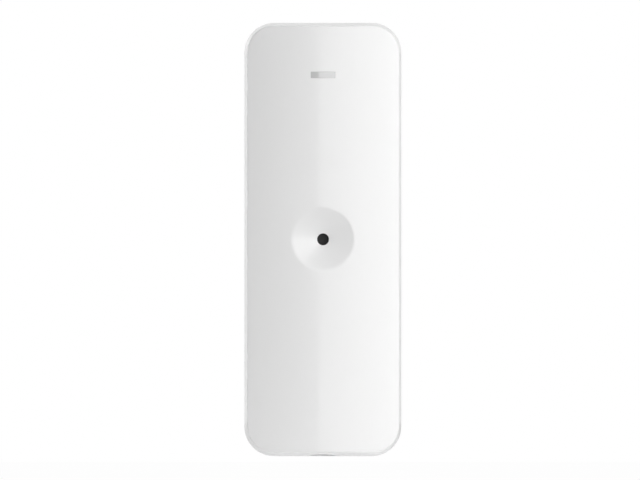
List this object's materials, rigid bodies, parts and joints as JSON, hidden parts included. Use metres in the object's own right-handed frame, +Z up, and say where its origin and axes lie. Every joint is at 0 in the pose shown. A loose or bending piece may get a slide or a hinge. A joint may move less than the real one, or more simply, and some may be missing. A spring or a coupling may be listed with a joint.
{
  "type": "glass break sensor",
  "caption": "Slim white wall-mounted acoustic glass break sensor with a dished microphone port, an indicator window and a screwed wall plate.",
  "frame": {"origin": "on the wall plane, midway between the two wall screw holes, behind the middle of the microphone port", "axes": "+Z up along the case, +X to the right as seen from the front, -Y out of the wall towards the viewer; the wall plate's back lies in Y = 0"},
  "size_m": [0.042, 0.0247, 0.116],
  "materials": {
    "cover_plastic": "glossy white moulded ABS",
    "plate_plastic": "fine-textured white moulded ABS",
    "lens_plastic": "smoky translucent acrylic",
    "mesh_cloth": "woven black acoustic cloth",
    "boot_rubber": "soft black silicone rubber",
    "capsule_metal": "drawn aluminium can",
    "board_laminate": "green solder mask over glass laminate",
    "screw_steel": "zinc-plated steel",
    "cradle_plastic": "black moulded nylon",
    "cell_wrap": "dark heat-shrunk wrapper over a steel can",
    "contact_metal": "nickel-plated spring steel",
    "switch_plastic": "black moulded switch bodies",
    "knob_plastic": "white moulded knobs and plunger",
    "shield_metal": "tin-plated folded sheet",
    "antenna_metal": "gold-flashed sheet",
    "chip_plastic": "black moulded epoxy",
    "lamp_plastic": "clear epoxy over a pale base",
    "can_metal": "bright drawn aluminium",
    "ceramic": "fired ceramic chips"
  },
  "bodies": {
    "housing": {"front_cover": "cover_plastic", "rear_cover": "plate_plastic", "cover_screw": "screw_steel", "light_pipe": "lens_plastic", "mic_mesh": "mesh_cloth", "mic_boot": "boot_rubber", "microphone": "capsule_metal", "circuit_board": "board_laminate", "board_screws": "screw_steel", "battery_cradle": "cradle_plastic", "battery": "cell_wrap", "battery_contact_positive": "contact_metal", "battery_contact_negative": "contact_metal", "tamper_switch_body": "switch_plastic", "tamper_spring": "contact_metal", "enrol_button_body": "switch_plastic", "power_switch_body": "shield_metal", "sensitivity_switch_body": "switch_plastic", "radio_shield": "shield_metal", "antenna": "antenna_metal", "storage_capacitor": "can_metal", "processor": "chip_plastic", "amplifier": "chip_plastic", "status_led": "lamp_plastic", "crystal": "can_metal", "chip_components": "ceramic"},
    "plunger": {"tamper_plunger": "knob_plastic"},
    "enrol_key": {"enrol_button_key": "knob_plastic"},
    "power_knob": {"power_switch_slider": "knob_plastic"},
    "sensitivity_knob_1": {"sensitivity_slider_1": "knob_plastic"},
    "sensitivity_knob_2": {"sensitivity_slider_2": "knob_plastic"}
  },
  "joints": [
    {"name": "tamper_press", "type": "slide", "parent": "housing", "child": "plunger", "axis": [0, -1, 0], "range_m": [0, 0.0015], "stiffness_N_per_m": 250, "springref_m": -0.002, "deforming": ["tamper_spring"]},
    {"name": "enrol_press", "type": "slide", "parent": "housing", "child": "enrol_key", "axis": [0, -1, 0], "range_m": [0, 0.0003], "stiffness_N_per_m": 3000, "springref_m": -0.0001},
    {"name": "power_slide", "type": "slide", "parent": "housing", "child": "power_knob", "axis": [0, 0, 1], "range_m": [0, 0.002]},
    {"name": "sensitivity_slide_1", "type": "slide", "parent": "housing", "child": "sensitivity_knob_1", "axis": [0, 0, 1], "range_m": [0, 0.0012]},
    {"name": "sensitivity_slide_2", "type": "slide", "parent": "housing", "child": "sensitivity_knob_2", "axis": [0, 0, 1], "range_m": [0, 0.0012]}
  ]
}
